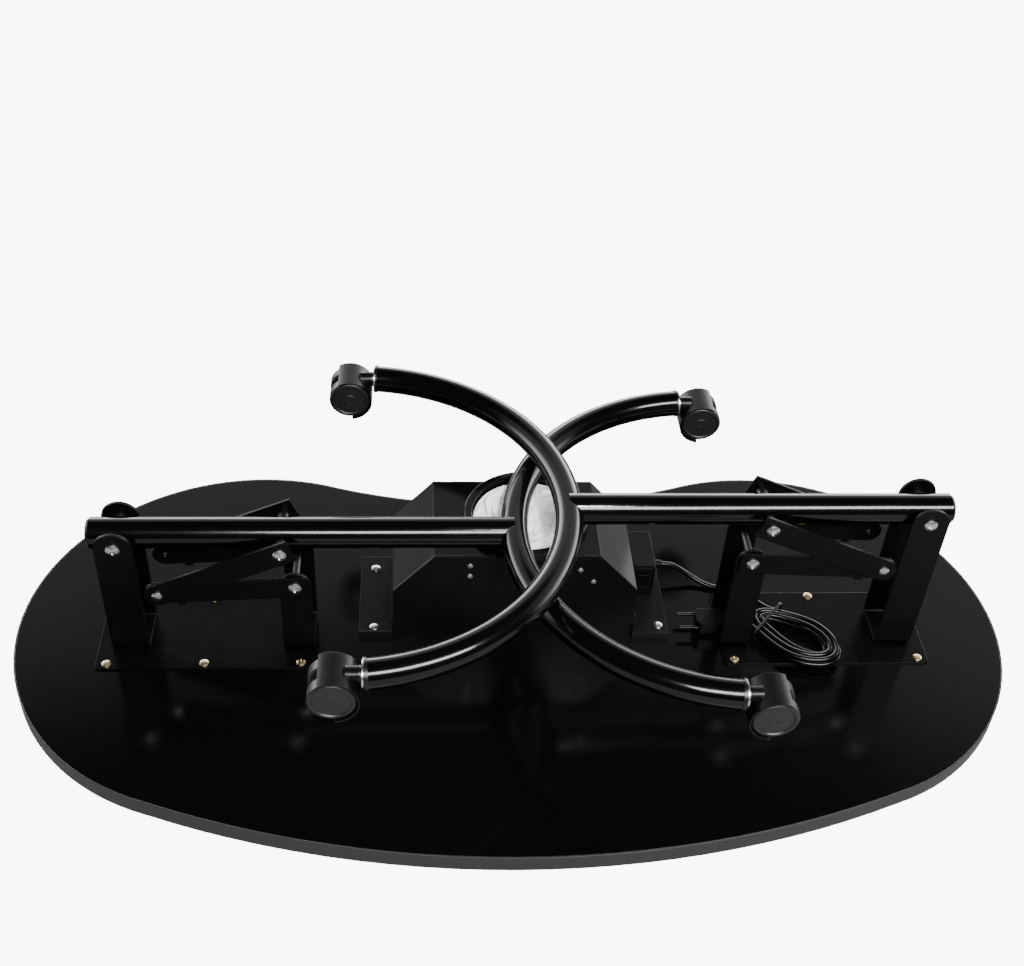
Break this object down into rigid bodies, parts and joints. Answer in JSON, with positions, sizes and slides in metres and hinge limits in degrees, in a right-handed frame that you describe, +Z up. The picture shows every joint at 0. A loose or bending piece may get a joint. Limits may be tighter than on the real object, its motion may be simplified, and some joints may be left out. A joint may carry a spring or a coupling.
{
  "type": "folding manicure table",
  "caption": "Folding manicure table stored upside down: curved worktop, strut-braced folding legs on swivel casters, a fan dust collector with a slack bag, switch box and corded plug.",
  "frame": {"origin": "middle of the table on the line of the two posts, on the worktop face, which lies down", "axes": "+X along the table towards the leg whose foot lies uppermost, +Y towards the hollow back edge, +Z up from the worktop face through the underside"},
  "size_m": [0.999, 0.5074, 0.202],
  "materials": {
    "laminate": "glossy dark laminate on board",
    "edge": "satin edge band",
    "black_steel": "satin powder coat",
    "tube_steel": "smooth satin coat",
    "zinc": "bright zinc",
    "screw_zinc": "yellow zinc",
    "black_plastic": "fine matte",
    "nylon": "black nylon",
    "socket": "smooth black",
    "hood": "gloss moulding",
    "wheel": "smooth hard tread",
    "collector": "gloss black",
    "hanger_steel": "satin coat",
    "cloth": "thin soft cloth",
    "cord": "soft sheath",
    "tie": "smooth"
  },
  "bodies": {
    "table": {"tabletop": "laminate", "edge_band": "edge", "vent_grille": "black_plastic", "left_plate": "black_steel", "left_plate_screws": "screw_zinc", "left_pivot_bracket": "black_steel", "left_strut_bracket": "black_steel", "left_hinge_bolts": "zinc", "right_plate": "black_steel", "right_plate_screws": "screw_zinc", "right_pivot_bracket": "black_steel", "right_strut_bracket": "black_steel", "right_hinge_bolts": "zinc", "fan_housing": "collector", "fan_cover": "collector", "fan_frame": "black_plastic", "fan_hangers": "hanger_steel", "fan_screws": "zinc", "bag_ring": "collector", "dust_bag": "cloth", "switch_box": "black_plastic", "cord_gland": "black_plastic", "cord_run": "cord", "cord_hank": "cord", "cord_tie": "tie", "plug": "black_plastic"},
    "left_leg": {"left_post": "tube_steel", "left_foot": "tube_steel", "left_post_cap": "black_plastic", "left_pivot_bush": "nylon", "left_foot_sockets": "socket", "left_post_bolt": "zinc"},
    "left_upper_struts": {"left_upper_struts": "black_steel", "left_knee_pins": "zinc"},
    "left_lower_struts": {"left_lower_struts": "black_steel"},
    "left_front_caster": {"left_front_caster_hood": "hood"},
    "left_front_wheels": {"left_front_caster_wheels": "wheel", "left_front_caster_axle": "zinc"},
    "left_rear_caster": {"left_rear_caster_hood": "hood"},
    "left_rear_wheels": {"left_rear_caster_wheels": "wheel", "left_rear_caster_axle": "zinc"},
    "right_leg": {"right_post": "tube_steel", "right_foot": "tube_steel", "right_post_cap": "black_plastic", "right_pivot_bush": "nylon", "right_foot_sockets": "socket", "right_post_bolt": "zinc"},
    "right_upper_struts": {"right_upper_struts": "black_steel", "right_knee_pins": "zinc"},
    "right_lower_struts": {"right_lower_struts": "black_steel"},
    "right_front_caster": {"right_front_caster_hood": "hood"},
    "right_front_wheels": {"right_front_caster_wheels": "wheel", "right_front_caster_axle": "zinc"},
    "right_rear_caster": {"right_rear_caster_hood": "hood"},
    "right_rear_wheels": {"right_rear_caster_wheels": "wheel", "right_rear_caster_axle": "zinc"},
    "fan_rotor": {"fan_rotor": "black_plastic"},
    "rocker": {"rocker_switch": "black_plastic"}
  },
  "joints": [
    {"name": "left_leg_fold", "type": "hinge", "parent": "table", "child": "left_leg", "pos_m": [-0.383, 0, 0.154], "axis": [0, -1, 0], "range_deg": [0, 90]},
    {"name": "left_lower_strut_turn", "type": "hinge", "parent": "table", "child": "left_lower_struts", "pos_m": [-0.2185, 0, 0.1075], "axis": [0, -1, 0], "range_deg": [-55, 0]},
    {"name": "left_upper_strut_turn", "type": "hinge", "parent": "left_leg", "child": "left_upper_struts", "pos_m": [-0.23, 0, 0.1535], "axis": [0, -1, 0], "range_deg": [-11, 13]},
    {"name": "left_front_caster_swivel", "type": "hinge", "parent": "left_leg", "child": "left_front_caster", "pos_m": [0.17357, -0.20388, 0.154], "axis": [1, 0, 0], "continuous": true},
    {"name": "left_front_wheel_spin", "type": "hinge", "parent": "left_front_caster", "child": "left_front_wheels", "pos_m": [0.20257, -0.20388, 0.138], "axis": [0, 1, 0], "continuous": true},
    {"name": "left_rear_caster_swivel", "type": "hinge", "parent": "left_leg", "child": "left_rear_caster", "pos_m": [0.17357, 0.20388, 0.154], "axis": [1, 0, 0], "continuous": true},
    {"name": "left_rear_wheel_spin", "type": "hinge", "parent": "left_rear_caster", "child": "left_rear_wheels", "pos_m": [0.20257, 0.20388, 0.138], "axis": [0, 1, 0], "continuous": true},
    {"name": "right_leg_fold", "type": "hinge", "parent": "table", "child": "right_leg", "pos_m": [0.383, 0, 0.184], "axis": [0, 1, 0], "range_deg": [0, 90]},
    {"name": "right_lower_strut_turn", "type": "hinge", "parent": "table", "child": "right_lower_struts", "pos_m": [0.2185, 0, 0.1375], "axis": [0, 1, 0], "range_deg": [-55, 0]},
    {"name": "right_upper_strut_turn", "type": "hinge", "parent": "right_leg", "child": "right_upper_struts", "pos_m": [0.23, 0, 0.1835], "axis": [0, 1, 0], "range_deg": [-11, 13]},
    {"name": "right_front_caster_swivel", "type": "hinge", "parent": "right_leg", "child": "right_front_caster", "pos_m": [-0.14357, -0.20388, 0.184], "axis": [-1, 0, 0], "continuous": true},
    {"name": "right_front_wheel_spin", "type": "hinge", "parent": "right_front_caster", "child": "right_front_wheels", "pos_m": [-0.17257, -0.20388, 0.168], "axis": [0, 1, 0], "continuous": true},
    {"name": "right_rear_caster_swivel", "type": "hinge", "parent": "right_leg", "child": "right_rear_caster", "pos_m": [-0.14357, 0.20388, 0.184], "axis": [-1, 0, 0], "continuous": true},
    {"name": "right_rear_wheel_spin", "type": "hinge", "parent": "right_rear_caster", "child": "right_rear_wheels", "pos_m": [-0.17257, 0.20388, 0.168], "axis": [0, 1, 0], "continuous": true},
    {"name": "fan_spin", "type": "hinge", "parent": "table", "child": "fan_rotor", "pos_m": [0.006, 0.051, 0.11], "axis": [0, 0, 1], "continuous": true},
    {"name": "rocker_tilt", "type": "hinge", "parent": "table", "child": "rocker", "pos_m": [0.1315, 0.0512, 0.042], "axis": [-1, 0, 0], "range_deg": [0, 16]}
  ],
  "couplings": [
    {"joint": "left_leg_fold", "follows": "right_leg_fold", "ratio": 0.7},
    {"joint": "left_lower_strut_turn", "follows": "right_leg_fold", "ratio": -0.31419},
    {"joint": "left_upper_strut_turn", "follows": "right_leg_fold", "ratio": -0.077822},
    {"joint": "right_lower_strut_turn", "follows": "right_leg_fold", "ratio": -0.5663},
    {"joint": "right_upper_strut_turn", "follows": "right_leg_fold", "ratio": 0.14353}
  ]
}
